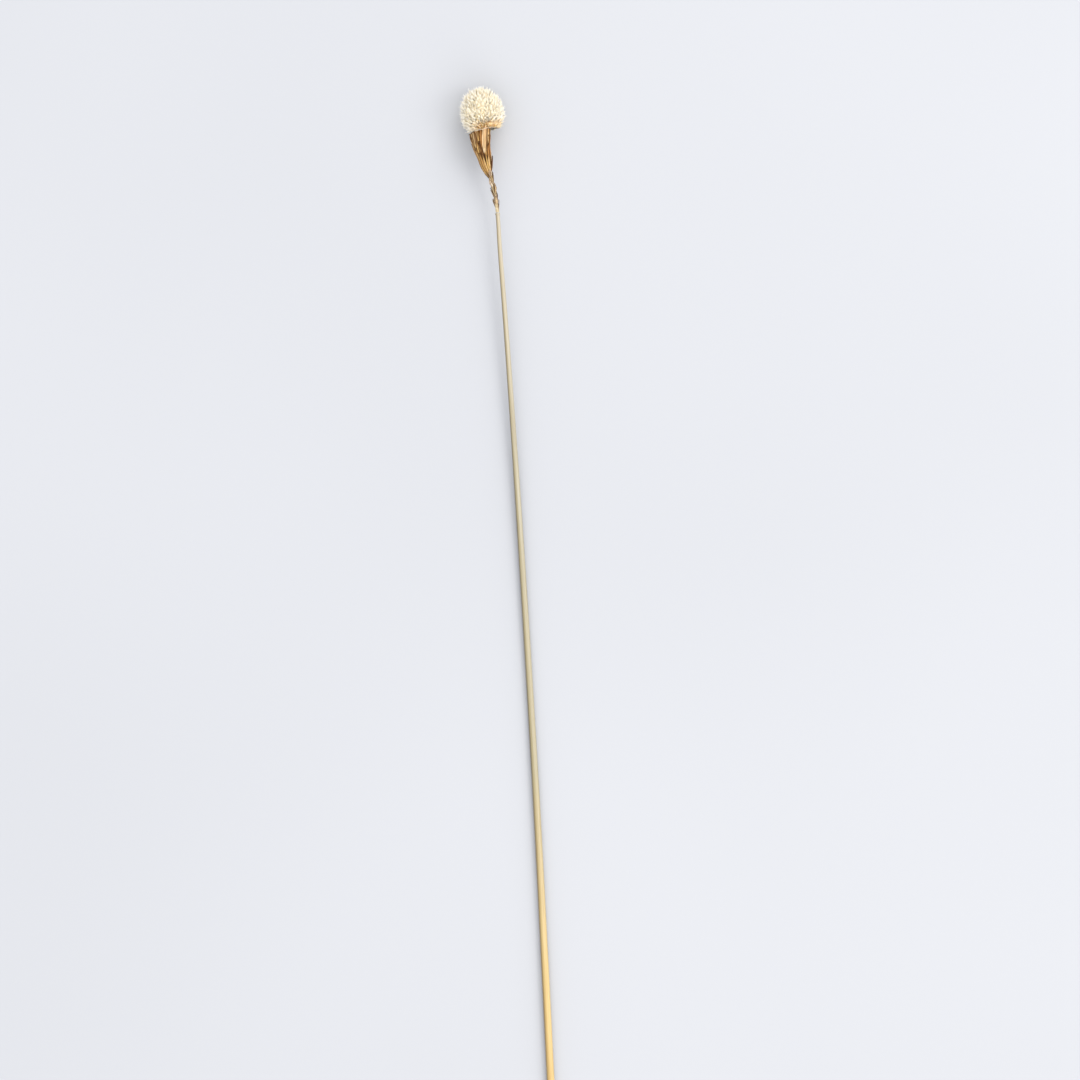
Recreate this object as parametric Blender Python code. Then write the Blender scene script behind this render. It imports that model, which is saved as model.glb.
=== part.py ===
"""A dried everlasting flower on its cut stem, lying on a flat surface.

Metres, +Z up. The flower lies along +Y, from the cut end of the stem to the top of the head,
and its origin is the middle of its length, at the surface that it rests on.
Three solids: the bristly head, the leafy bracts with the scales below them, and the bare stem.
"""
import math
import random

import bmesh
import bpy
from mathutils import Matrix, Vector

MM = 0.001

# Gap between solids that touch, wider where the leafy part starts, because the line bends there
SEAT_GAP = 0.30 * MM
FOOT_GAP = 0.37 * MM

# Stem: the line that it follows, seen from above, as (distance along Y, offset along X)
CUT_END_Y = -300.0 * MM
COLLAR_Y = 230.0 * MM
NECK_Y = 277.3 * MM
CENTRE_LINE = (
    (-300.0 * MM, 0.0 * MM),
    (-200.0 * MM, 2.0 * MM),
    (-100.0 * MM, 3.7 * MM),
    (0.0 * MM, 4.7 * MM),
    (100.0 * MM, 5.1 * MM),
    (180.0 * MM, 4.9 * MM),
    (212.0 * MM, 4.6 * MM),
    (230.0 * MM, 4.7 * MM),
    (240.0 * MM, 3.9 * MM),
    (249.0 * MM, 2.4 * MM),
    (255.0 * MM, 0.6 * MM),
    (261.0 * MM, -0.4 * MM),
    (267.0 * MM, -1.5 * MM),
    (277.3 * MM, -2.1 * MM),
)
STEM_TOP_RADIUS = 1.10 * MM
# The stem's thickness, as (distance along Y, radius)
STEM_TAPER = (
    (-300.0 * MM, 2.15 * MM),
    (-200.0 * MM, 2.08 * MM),
    (20.0 * MM, 1.78 * MM),
    (75.0 * MM, 1.66 * MM),
    (130.0 * MM, 1.50 * MM),
    (183.0 * MM, 1.36 * MM),
    (215.0 * MM, 1.20 * MM),
    (230.0 * MM, STEM_TOP_RADIUS),
)
STEM_SIDES = 12
STEM_POINTS = 38
STEM_SHARP_ANGLE = math.radians(40.0)
COLLAR_RADIUS = 1.35 * MM
COLLAR_LENGTH = 1.4 * MM
# The collar's outline as (share of its length, radius)
COLLAR_PROFILE = (
    (0.20, COLLAR_RADIUS),
    (0.80, COLLAR_RADIUS),
    (0.98, STEM_TOP_RADIUS),
)

# The stem's woody middle, which runs up into the leafy part with a gap all round
TENON_RADIUS = 0.30 * MM
TENON_LENGTH = 5.0 * MM
SOCKET_RADIUS = 0.67 * MM

# Height: the lower stem lies on the surface and the rest rises to the head
LIFT_FROM_Y = -30.0 * MM
NECK_HEIGHT = 10.9 * MM

# Leafy part: its core, as (distance below the neck, radius)
CORE_PROFILE = (
    (0.0 * MM, 4.4 * MM),
    (5.5 * MM, 4.1 * MM),
    (11.0 * MM, 3.5 * MM),
    (17.0 * MM, 3.0 * MM),
    (22.0 * MM, 2.35 * MM),
    (26.0 * MM, 1.35 * MM),
    (29.0 * MM, 0.95 * MM),
    (NECK_Y - COLLAR_Y - FOOT_GAP, 0.95 * MM),
)
CORE_SIDES = 12
CORE_OVERSHOOT = 1.5 * MM

# Dry leaves: a blade's width follows a sine from its foot to its tip
BLADE_THICKNESS = 0.60 * MM
BLADE_ROOT = 0.15 * MM
BLADE_TIP_HALF_WIDTH = 0.12 * MM
BLADE_FOOT_SHARE = 0.16
BLADE_SHARPNESS = 1.15
BLADE_CLEARS_CORE_AT = 1.0 / 3.0
SPLAY_POWER = 1.4
LEFT_FLARE = 0.4 * MM
BLADE_TURN_JITTER = 0.2
SCALE_COUNT = 11
SCALE_FIRST_FOOT = 1.2 * MM
SCALE_PITCH = 1.9 * MM
SCALE_LENGTHS = (4.8 * MM, 6.0 * MM)
SCALE_WIDTH = 2.2 * MM
SCALE_SPLAY = 0.30 * MM
BRACT_COUNT = 25
BRACT_FEET_BELOW_NECK = (26.0 * MM, 8.0 * MM)
BRACT_LENGTHS = (15.0 * MM, 10.5 * MM)
BRACT_LENGTH_SPREAD = 0.06
BRACT_WIDTHS = (3.2 * MM, 4.2 * MM)
BRACT_SPLAY = 0.90 * MM
BRACT_TIP_LIMIT_Y = 275.0 * MM
GOLDEN_ANGLE = math.radians(137.508)

# Head: its own frame has +Z along its axis and its origin at the middle of its base
HEAD_BASE = Vector((0.95 * MM, 276.3 * MM, 11.15 * MM))
HEAD_LEAN = math.radians(-6.0)
HEAD_RISE = math.radians(3.0)
HEAD_RADIUS = 12.6 * MM
HEAD_WIDEST = 8.0 * MM
HEAD_TOP = 23.0 * MM
HEAD_UNDERSIDE = 16.0 * MM
FULLNESS_ABOVE = 2.1
FULLNESS_BELOW = 2.0
RECEPTACLE_HEIGHT = 2.0 * MM
RECEPTACLE_RADIUS = 5.0 * MM
RECEPTACLE_SIDES = 20
CORE_BOTTOM = 0.9 * MM
CORE_SEGMENTS = 16
CORE_RINGS = 10

# The head's underside, a wide flat cone that starts at the rim of the receptacle
BASE_LEVEL = -0.30 * MM
BASE_SLOPE = 0.34
BASE_SIDES = 48

# Florets
FLORET_COUNT = 480
FLORET_SIDES = 3
FLORET_LOWEST = math.radians(128.0)
FLORET_WIDTH = 0.84 * MM
FLORET_TIP = 0.14 * MM
FLORET_STAND_OUT = 3.3 * MM
FLORET_ROOT = 1.5 * MM
FLORET_WIDTH_SPREAD = 0.1
FLORET_POLAR_JITTER = 0.03
FLORET_TURN_JITTER = 0.04
FLORET_REACH = (0.94, 1.04)
LONG_FLORET_SHARE = 0.08
LONG_FLORET_EXTRA = 0.06
NEAR_AXIS = 0.1
FAN_FROM = math.radians(112.0)
FAN_ROOT_SHARE = 0.3

# The lowest florets are shorter on one side of the head, up and towards +X
SHORT_SIDE = math.radians(-50.0)
SHORT_FACING = (0.35, 0.75)
SHORT_POLAR = (math.radians(106.0), math.radians(116.0))
SHORT_BY = 0.14

# Where the head is pressed flat on the surface
PRESSED_HEIGHT = -0.10 * MM
PRESSED_ASIDE = 0.6
MAT_RADIUS = 2.7 * MM
MAT_TOP_RADIUS = 4.2 * MM
MAT_HEIGHT = 3.2 * MM
MAT_SUNK = 0.2 * MM
MAT_POINTS = 7
MAT_POINT_REACH = 1.1
MAT_NOTCH_REACH = 0.85
CUTTER_SIZE = 40.0 * MM
SEED = 23


def new_material(name, colour, roughness):
    material = bpy.data.materials.new(name)
    material.use_nodes = True
    shader = material.node_tree.nodes["Principled BSDF"]
    shader.inputs["Base Color"].default_value = (*colour, 1.0)
    shader.inputs["Roughness"].default_value = roughness
    shader.inputs["Metallic"].default_value = 0.0
    return material


def new_collection(name):
    collection = bpy.data.collections.new(name)
    bpy.context.scene.collection.children.link(collection)
    return collection


def object_from(mesh_data, name, collection, material=None):
    """An object in the collection, made from a bmesh, which it frees."""
    mesh = bpy.data.meshes.new(name)
    mesh_data.to_mesh(mesh)
    mesh_data.free()
    thing = bpy.data.objects.new(name, mesh)
    collection.objects.link(thing)
    if material:
        mesh.materials.append(material)
    return thing


def along(points, at):
    """The value at a place on a smooth curve through the points (place, value)."""
    last = len(points) - 1
    i = max(j for j in range(last) if j == 0 or points[j][0] <= at)
    slopes = []
    for j in (i, i + 1):
        before = points[max(j - 1, 0)]
        after = points[min(j + 1, last)]
        slopes.append((after[1] - before[1]) / (after[0] - before[0]))
    start, end = points[i], points[i + 1]
    span = end[0] - start[0]
    t = min(max((at - start[0]) / span, 0.0), 1.0)
    return (
        (2 * t**3 - 3 * t**2 + 1) * start[1]
        + (t**3 - 2 * t**2 + t) * span * slopes[0]
        + (3 * t**2 - 2 * t**3) * end[1]
        + (t**3 - t**2) * span * slopes[1]
    )


def between(ends, share):
    return ends[0] + (ends[1] - ends[0]) * share


def stem_radius(y):
    return along(STEM_TAPER, y)


def centre_line(y):
    """The middle of the stem, or of the leafy part above it, at a distance along Y."""
    rest = stem_radius(y) * math.cos(math.pi / STEM_SIDES)
    rise = max(0.0, (y - LIFT_FROM_Y) / (NECK_Y - LIFT_FROM_Y))
    lift = (NECK_HEIGHT - STEM_TOP_RADIUS) * rise**2 * (3.0 - rise) / 2.0
    return Vector((along(CENTRE_LINE, y), y, rest + lift))


def frame_on_line(y):
    """A matrix with +Z up the centre line, its origin on the line, and +X as level as it can be."""
    step = 0.5 * MM
    up = (centre_line(y + step) - centre_line(y - step)).normalized()
    side = up.cross(Vector((0.0, 0.0, 1.0))).normalized()
    front = up.cross(side)
    matrix = Matrix((side, front, up)).transposed().to_4x4()
    matrix.translation = centre_line(y)
    return matrix


def tube_along(name, stations, sides, collection, material=None):
    """A round solid through stations (centre, radius), from a curve made into a mesh."""
    curve = bpy.data.curves.new(name, "CURVE")
    curve.dimensions = "3D"
    curve.twist_mode = "Z_UP"
    curve.bevel_depth = 1.0
    curve.bevel_resolution = sides // 2 - 2
    curve.use_fill_caps = True
    spline = curve.splines.new("POLY")
    spline.points.add(len(stations) - 1)
    for point, (centre, radius) in zip(spline.points, stations):
        point.co = (*centre, 1.0)
        point.radius = radius
        point.tilt = math.pi / sides
    guide = bpy.data.objects.new(name + "_guide", curve)
    collection.objects.link(guide)
    bpy.context.view_layer.update()
    graph = bpy.context.evaluated_depsgraph_get()
    mesh = bpy.data.meshes.new_from_object(guide.evaluated_get(graph))
    tube = bmesh.new()
    tube.from_mesh(mesh)
    bmesh.ops.remove_doubles(tube, verts=tube.verts, dist=0.01 * MM)
    bmesh.ops.recalc_face_normals(tube, faces=tube.faces)
    thing = object_from(tube, name, collection, material)
    thing.matrix_world = guide.matrix_world
    bpy.data.objects.remove(guide)
    bpy.data.curves.remove(curve)
    bpy.data.meshes.remove(mesh)
    return thing


def apply_boolean(thing, operation, solver, operand):
    """Runs a Boolean on the object, with a collection or an object as operand, and applies it."""
    modifier = thing.modifiers.new(operation.title(), "BOOLEAN")
    modifier.operation = operation
    modifier.solver = solver
    if isinstance(operand, bpy.types.Collection):
        modifier.operand_type = "COLLECTION"
        modifier.collection = operand
    else:
        modifier.object = operand
    bpy.context.view_layer.update()
    graph = bpy.context.evaluated_depsgraph_get()
    result = bpy.data.meshes.new_from_object(thing.evaluated_get(graph))
    thing.modifiers.remove(modifier)
    old = thing.data
    thing.data = result
    bpy.data.meshes.remove(old)
    thing.data.name = thing.name


def fuse(thing, repeats):
    """Joins every object of the collection to the object, then removes them."""
    apply_boolean(thing, "UNION", "MANIFOLD", repeats)
    for piece in list(repeats.objects):
        mesh = piece.data
        bpy.data.objects.remove(piece)
        bpy.data.meshes.remove(mesh)
    bpy.data.collections.remove(repeats)


def keep_main_body(thing):
    """Drops loose scraps, and fills sealed hollows, by keeping the largest shell alone."""
    shape = bmesh.new()
    shape.from_mesh(thing.data)
    left = set(shape.faces)
    shells = []
    while left:
        shell = set()
        front = [left.pop()]
        while front:
            face = front.pop()
            shell.add(face)
            near = {other for edge in face.edges for other in edge.link_faces} & left
            left -= near
            front.extend(near)
        shells.append(shell)
    main_shell = max(shells, key=len)
    scraps = [face for face in shape.faces if face not in main_shell]
    bmesh.ops.delete(shape, geom=scraps, context="FACES")
    shape.to_mesh(thing.data)
    shape.free()


def as_cutter(thing):
    thing.hide_render = True
    thing.display_type = "WIRE"
    return thing


def make_stem(parts, material):
    """The bare stem: tapered, lying on its lower half, with a collar and its woody middle on top."""
    plain_top = COLLAR_Y - COLLAR_LENGTH
    run = plain_top - CUT_END_Y
    steps = [CUT_END_Y + run * i / (STEM_POINTS - 1) for i in range(STEM_POINTS)]
    stations = [(centre_line(y), stem_radius(y)) for y in steps]
    for share, radius in COLLAR_PROFILE:
        stations.append((centre_line(plain_top + share * COLLAR_LENGTH), radius))
    stations.append((centre_line(COLLAR_Y), TENON_RADIUS))
    stations.append((centre_line(COLLAR_Y + TENON_LENGTH), TENON_RADIUS))
    stem = tube_along("stem", stations, STEM_SIDES, parts, material)
    stem.data.shade_smooth()
    stem.data.set_sharp_from_angle(angle=STEM_SHARP_ANGLE)


def blade_half_width(width, share):
    """Half the width of a blade at a share of its length from foot to tip."""
    phase = (BLADE_FOOT_SHARE + (1.0 - BLADE_FOOT_SHARE) * share) ** BLADE_SHARPNESS
    return max(0.5 * width * math.sin(math.pi * phase), BLADE_TIP_HALF_WIDTH)


def make_blade(name, foot_y, turn, length, width, splay, collection):
    """A cupped, pointed dry leaf that hugs the leafy part's core and leaves it towards its tip.

    foot_y is where it grows from, turn the side of the core, and splay how far its tip stands off.
    """
    blade = bmesh.new()
    bmesh.ops.create_grid(blade, x_segments=2, y_segments=4, size=1.0)
    bmesh.ops.triangulate(blade, faces=blade.faces)
    for vert in blade.verts:
        side = vert.co.x
        share = (vert.co.y + 1.0) / 2.0
        y = foot_y + length * share
        half = blade_half_width(width, share)
        clear = BLADE_THICKNESS * min(share / BLADE_CLEARS_CORE_AT, 1.0) - BLADE_ROOT
        radius = along(CORE_PROFILE, NECK_Y - y) + clear + splay * share**SPLAY_POWER
        angle = turn + side * half / max(radius, half)
        ring = frame_on_line(y)
        out = ring.to_3x3() @ Vector((math.cos(angle), math.sin(angle), 0.0))
        vert.co = ring.translation + out * radius
    middle = frame_on_line(foot_y + 0.5 * length).translation
    bmesh.ops.recalc_face_normals(blade, faces=blade.faces)
    face = max(blade.faces, key=lambda f: f.calc_area())
    if face.normal.dot(face.calc_center_median() - middle) < 0.0:
        bmesh.ops.reverse_faces(blade, faces=blade.faces)
    bmesh.ops.solidify(blade, geom=blade.faces[:], thickness=BLADE_THICKNESS)
    bmesh.ops.recalc_face_normals(blade, faces=blade.faces)
    object_from(blade, name, collection)


def make_scales(blades, draw):
    """Small scales pressed to the upper stalk, one above another around it."""
    for i in range(SCALE_COUNT):
        foot = COLLAR_Y + SCALE_FIRST_FOOT + SCALE_PITCH * i
        turn = GOLDEN_ANGLE * i + draw.uniform(-BLADE_TURN_JITTER, BLADE_TURN_JITTER)
        length = draw.uniform(*SCALE_LENGTHS)
        make_blade(f"scale_{i}", foot, turn, length, SCALE_WIDTH, SCALE_SPLAY, blades)


def make_bracts(blades, draw):
    """Long bracts that overlap up to the neck, and flare a little more on the side towards -X."""
    for i in range(BRACT_COUNT):
        share = i / (BRACT_COUNT - 1)
        foot = NECK_Y - between(BRACT_FEET_BELOW_NECK, share)
        turn = GOLDEN_ANGLE * (i + SCALE_COUNT)
        turn += draw.uniform(-BLADE_TURN_JITTER, BLADE_TURN_JITTER)
        spread = draw.uniform(1.0 - BRACT_LENGTH_SPREAD, 1.0 + BRACT_LENGTH_SPREAD)
        length = min(between(BRACT_LENGTHS, share) * spread, BRACT_TIP_LIMIT_Y - foot)
        splay = BRACT_SPLAY + LEFT_FLARE * max(0.0, -math.cos(turn))
        make_blade(f"bract_{i}", foot, turn, length, between(BRACT_WIDTHS, share), splay, blades)


def make_leafy_part(parts, cutters, material):
    """The tapering core with its small scales below and its long bracts above, as one solid."""
    neck_radius = CORE_PROFILE[0][1]
    stations = [(centre_line(NECK_Y - below), r) for below, r in reversed(CORE_PROFILE[1:])]
    stations.append((centre_line(NECK_Y + CORE_OVERSHOOT), neck_radius))
    leafy = tube_along("leafy_bracts", stations, CORE_SIDES, parts, material)
    blades = new_collection("blades")
    draw = random.Random(SEED)
    make_scales(blades, draw)
    make_bracts(blades, draw)
    fuse(leafy, blades)
    tenon_foot = centre_line(COLLAR_Y)
    tenon_top = centre_line(COLLAR_Y + TENON_LENGTH)
    upward = (tenon_top - tenon_foot).normalized()
    socket_stations = (
        (tenon_foot - upward * COLLAR_LENGTH, SOCKET_RADIUS),
        (tenon_top + upward * SEAT_GAP, SOCKET_RADIUS),
    )
    socket = as_cutter(tube_along("socket_cutter", socket_stations, STEM_SIDES, cutters))
    apply_boolean(leafy, "DIFFERENCE", "EXACT", socket)
    whole_length = NECK_Y - COLLAR_Y + 2.0 * CORE_OVERSHOOT
    below_base = as_cutter(under_head("leafy_limit", -0.5 * SEAT_GAP, whole_length, cutters))
    apply_boolean(leafy, "INTERSECT", "MANIFOLD", below_base)
    keep_main_body(leafy)


def head_frame():
    """A matrix with +Z along the head's axis and its origin at the middle of the head's base."""
    up = Vector(
        (
            math.sin(HEAD_LEAN) * math.cos(HEAD_RISE),
            math.cos(HEAD_LEAN) * math.cos(HEAD_RISE),
            math.sin(HEAD_RISE),
        )
    )
    side = up.cross(Vector((0.0, 0.0, 1.0))).normalized()
    matrix = Matrix((side, up.cross(side), up)).transposed().to_4x4()
    matrix.translation = HEAD_BASE
    return matrix


def in_head_frame(shape, name, collection, material=None):
    """An object made in the head's own frame, and placed by that frame."""
    thing = object_from(shape, name, collection, material)
    thing.matrix_world = head_frame()
    return thing


def under_head(name, clearance, depth, collection):
    """The space under the head's base, a wide flat cone, from a clearance above the base down."""
    space = bmesh.new()
    bmesh.ops.create_cone(
        space,
        cap_ends=True,
        segments=BASE_SIDES,
        radius1=RECEPTACLE_RADIUS + depth / BASE_SLOPE,
        radius2=RECEPTACLE_RADIUS,
        depth=depth,
    )
    middle = Vector((0.0, 0.0, BASE_LEVEL + clearance - 0.5 * depth))
    bmesh.ops.translate(space, verts=space.verts, vec=middle)
    return in_head_frame(space, name, collection)


def outline_reach(direction, shrink=0.0):
    """How far the head reaches from its widest place in a direction given in the head's frame."""
    above = direction.z > 0.0
    height = (HEAD_TOP - HEAD_WIDEST if above else HEAD_UNDERSIDE) - shrink
    fullness = FULLNESS_ABOVE if above else FULLNESS_BELOW
    wide = (direction.xy.length / (HEAD_RADIUS - shrink)) ** fullness
    tall = (abs(direction.z) / height) ** fullness
    return (wide + tall) ** (-1.0 / fullness)


def make_floret(name, foot, tip, width, roll, collection):
    """A keeled, pointed floret: three-sided, and widest at its foot inside the core."""
    run = tip - foot
    floret = bmesh.new()
    bmesh.ops.create_cone(
        floret,
        cap_ends=True,
        segments=FLORET_SIDES,
        radius1=width,
        radius2=FLORET_TIP,
        depth=run.length,
    )
    bmesh.ops.rotate(floret, verts=floret.verts, matrix=Matrix.Rotation(roll, 3, "Z"))
    aim = run.to_track_quat("Z", "Y").to_matrix().to_4x4()
    aim.translation = 0.5 * (foot + tip)
    bmesh.ops.transform(floret, matrix=aim, verts=floret.verts)
    in_head_frame(floret, name, collection)


def share_between(ends, value):
    """Where a value lies from one end to the other, from 0 to 1."""
    return min(max((value - ends[0]) / (ends[1] - ends[0]), 0.0), 1.0)


def shortening(polar, turn):
    """How much less a floret reaches out at an angle from the head's axis and a turn round it."""
    facing = math.cos(turn - SHORT_SIDE)
    return SHORT_BY * share_between(SHORT_FACING, facing) * share_between(SHORT_POLAR, polar)


def pressed(tip):
    """A tip, in the head's frame, that would be under the surface is bent aside and laid on it."""
    frame = head_frame()
    place = frame @ tip
    sunk = PRESSED_HEIGHT - place.z
    if sunk <= 0.0:
        return tip
    middle = frame @ Vector((0.0, 0.0, HEAD_WIDEST))
    aside = (place - middle).xy.normalized() * sunk * PRESSED_ASIDE
    laid = Vector((place.x + aside.x, place.y + aside.y, PRESSED_HEIGHT))
    return frame.inverted() @ laid


def floret_places(draw):
    """The foot and the tip of each floret in the head's frame, on a spiral down from the top."""
    widest = Vector((0.0, 0.0, HEAD_WIDEST))
    growth_middle = Vector((0.0, 0.0, RECEPTACLE_HEIGHT))
    for i in range(FLORET_COUNT):
        level = 1.0 - (1.0 - math.cos(FLORET_LOWEST)) * (i + 0.5) / FLORET_COUNT
        polar = math.acos(level) + draw.uniform(-FLORET_POLAR_JITTER, FLORET_POLAR_JITTER)
        aside = draw.uniform(-FLORET_TURN_JITTER, FLORET_TURN_JITTER)
        turn = GOLDEN_ANGLE * i + aside / max(math.sin(polar), NEAR_AXIS)
        outward = Vector((math.cos(turn), math.sin(turn), 0.0)) * math.sin(polar)
        direction = outward + Vector((0.0, 0.0, math.cos(polar)))
        reach = draw.uniform(*FLORET_REACH) - shortening(polar, turn)
        if draw.random() < LONG_FLORET_SHARE:
            reach += LONG_FLORET_EXTRA
        tip = pressed(widest + direction * outline_reach(direction) * reach)
        run = tip - growth_middle
        rooted = 1.0 - (FLORET_STAND_OUT + FLORET_ROOT) / run.length
        if polar > FAN_FROM:
            rooted *= FAN_ROOT_SHARE
        yield growth_middle + run * rooted, tip


def make_florets(florets):
    draw = random.Random(SEED + 1)
    for i, (foot, tip) in enumerate(floret_places(draw)):
        spread = draw.uniform(1.0 - FLORET_WIDTH_SPREAD, 1.0 + FLORET_WIDTH_SPREAD)
        roll = draw.uniform(0.0, math.tau)
        make_floret(f"floret_{i}", foot, tip, FLORET_WIDTH * spread, roll, florets)


def make_receptacle(florets):
    """The small disc that carries the florets and sits on the leafy part."""
    receptacle = bmesh.new()
    bmesh.ops.create_cone(
        receptacle,
        cap_ends=True,
        segments=RECEPTACLE_SIDES,
        radius1=RECEPTACLE_RADIUS,
        radius2=RECEPTACLE_RADIUS,
        depth=2.0 * RECEPTACLE_HEIGHT,
    )
    in_head_frame(receptacle, "receptacle", florets)


def make_mat(florets):
    """The flat spot that the head rests on: florets pressed together, with a pointed outline."""
    mat = bmesh.new()
    bmesh.ops.create_cone(
        mat,
        cap_ends=True,
        segments=2 * MAT_POINTS,
        radius1=MAT_RADIUS,
        radius2=MAT_TOP_RADIUS,
        depth=MAT_HEIGHT,
    )
    for vert in mat.verts:
        turn = math.atan2(vert.co.y, vert.co.x)
        at_point = math.cos(MAT_POINTS * turn) > 0.0
        vert.co.xy *= MAT_POINT_REACH if at_point else MAT_NOTCH_REACH
    middle = head_frame() @ Vector((0.0, 0.0, HEAD_WIDEST))
    middle.z = 0.5 * MAT_HEIGHT - MAT_SUNK
    bmesh.ops.translate(mat, verts=mat.verts, vec=middle)
    object_from(mat, "pressed_mat", florets)


def make_head_core(parts, material):
    """The smaller core of the head, flat underneath, which the florets stand out of."""
    core = bmesh.new()
    bmesh.ops.create_uvsphere(core, u_segments=CORE_SEGMENTS, v_segments=CORE_RINGS, radius=1.0)
    for vert in core.verts:
        direction = vert.co.normalized()
        vert.co = direction * outline_reach(direction, FLORET_STAND_OUT)
        vert.co.z = max(vert.co.z + HEAD_WIDEST, CORE_BOTTOM)
    return in_head_frame(core, "flower_head", parts, material)


def make_head(parts, cutters, material):
    """The head: a core covered with florets, cut flat at its base and where it rests."""
    head = make_head_core(parts, material)
    florets = new_collection("florets")
    make_receptacle(florets)
    make_mat(florets)
    make_florets(florets)
    fuse(head, florets)
    below = bmesh.new()
    bmesh.ops.create_cube(below, size=CUTTER_SIZE)
    middle = Vector((HEAD_BASE.x, HEAD_BASE.y, -0.5 * CUTTER_SIZE))
    bmesh.ops.translate(below, verts=below.verts, vec=middle)
    surface = as_cutter(object_from(below, "surface_cutter", cutters))
    apply_boolean(head, "DIFFERENCE", "MANIFOLD", surface)
    space_below = as_cutter(under_head("base_cutter", 0.5 * SEAT_GAP, HEAD_WIDEST, cutters))
    apply_boolean(head, "DIFFERENCE", "MANIFOLD", space_below)
    keep_main_body(head)


def main():
    for thing in list(bpy.data.objects):
        bpy.data.objects.remove(thing)
    parts = new_collection("dried_flower")
    cutters = new_collection("cutters")
    cream = new_material("cream_florets", (0.91, 0.80, 0.55), 0.75)
    brown = new_material("brown_bracts", (0.45, 0.28, 0.14), 0.80)
    straw = new_material("straw_stem", (0.68, 0.55, 0.30), 0.60)
    make_stem(parts, straw)
    make_leafy_part(parts, cutters, brown)
    make_head(parts, cutters, cream)


main()
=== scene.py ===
"""A dried cream flower head over brown bracts, on its long straw stem, lying on a pale table.

Metres, +Z up. The flower lies along +Y with the surface at Z = 0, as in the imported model.
"""
import math
import random

import bmesh
import bpy
from mathutils import Matrix, Vector


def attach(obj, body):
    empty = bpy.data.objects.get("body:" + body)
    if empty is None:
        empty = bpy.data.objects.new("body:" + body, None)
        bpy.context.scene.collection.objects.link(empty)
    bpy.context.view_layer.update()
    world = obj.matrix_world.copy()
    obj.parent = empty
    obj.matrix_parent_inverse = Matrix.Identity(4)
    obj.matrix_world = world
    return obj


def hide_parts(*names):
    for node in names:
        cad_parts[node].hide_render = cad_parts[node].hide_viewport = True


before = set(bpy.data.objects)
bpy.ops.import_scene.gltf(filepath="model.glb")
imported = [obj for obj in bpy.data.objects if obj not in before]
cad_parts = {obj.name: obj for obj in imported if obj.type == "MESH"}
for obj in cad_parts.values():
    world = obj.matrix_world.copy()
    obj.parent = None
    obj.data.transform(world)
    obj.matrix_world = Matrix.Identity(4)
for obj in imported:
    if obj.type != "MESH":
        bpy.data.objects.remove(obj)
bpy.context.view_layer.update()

MM = 0.001
GOLDEN_ANGLE = math.radians(137.508)
SEED = 23

# Line of the flower seen from above, as (distance along Y, offset along X)
CUT_END_Y = -300.0 * MM
COLLAR_Y = 230.0 * MM
NECK_Y = 277.3 * MM
CENTRE_LINE = (
    (-300.0 * MM, 0.0 * MM),
    (-200.0 * MM, 2.0 * MM),
    (-100.0 * MM, 3.7 * MM),
    (0.0 * MM, 4.7 * MM),
    (100.0 * MM, 5.1 * MM),
    (180.0 * MM, 4.9 * MM),
    (212.0 * MM, 4.6 * MM),
    (230.0 * MM, 4.7 * MM),
    (240.0 * MM, 3.9 * MM),
    (249.0 * MM, 2.4 * MM),
    (255.0 * MM, 0.6 * MM),
    (261.0 * MM, -0.4 * MM),
    (267.0 * MM, -1.5 * MM),
    (277.3 * MM, -2.1 * MM),
)
STEM_TOP_RADIUS = 1.10 * MM
# The stem's thickness, as (distance along Y, radius)
STEM_TAPER = (
    (-300.0 * MM, 2.15 * MM),
    (-200.0 * MM, 2.08 * MM),
    (20.0 * MM, 1.78 * MM),
    (75.0 * MM, 1.66 * MM),
    (130.0 * MM, 1.50 * MM),
    (183.0 * MM, 1.36 * MM),
    (215.0 * MM, 1.20 * MM),
    (230.0 * MM, STEM_TOP_RADIUS),
)
LIFT_FROM_Y = -30.0 * MM
NECK_HEIGHT = 10.9 * MM
# The solid's stem has twelve flat sides and lies on one of them
FLAT_SIDE = math.cos(math.pi / 12)

# Leafy stalk under the head, as (distance below the neck, radius)
STALK_PROFILE = (
    (0.0 * MM, 4.4 * MM),
    (5.5 * MM, 4.1 * MM),
    (11.0 * MM, 3.5 * MM),
    (17.0 * MM, 3.0 * MM),
    (22.0 * MM, 2.35 * MM),
    (26.0 * MM, 1.35 * MM),
    (29.0 * MM, 0.95 * MM),
    (47.0 * MM, 0.95 * MM),
)

# Head: its own frame has +Z along its axis and its origin at the middle of its base
HEAD_BASE = Vector((0.95 * MM, 276.3 * MM, 11.15 * MM))
HEAD_LEAN = math.radians(-6.0)
HEAD_RISE = math.radians(3.0)
HEAD_RADIUS = 12.6 * MM
HEAD_WIDEST = 8.0 * MM
HEAD_TOP = 23.0 * MM
HEAD_UNDERSIDE = 16.0 * MM
FULLNESS_ABOVE = 2.1
FULLNESS_BELOW = 2.0
GROWTH_LEVEL = -1.0 * MM
RECEPTACLE_RADIUS = 5.0 * MM
BASE_LEVEL = -0.30 * MM
BASE_SLOPE = 0.34
TABLE_TOUCH = 0.03 * MM


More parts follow.
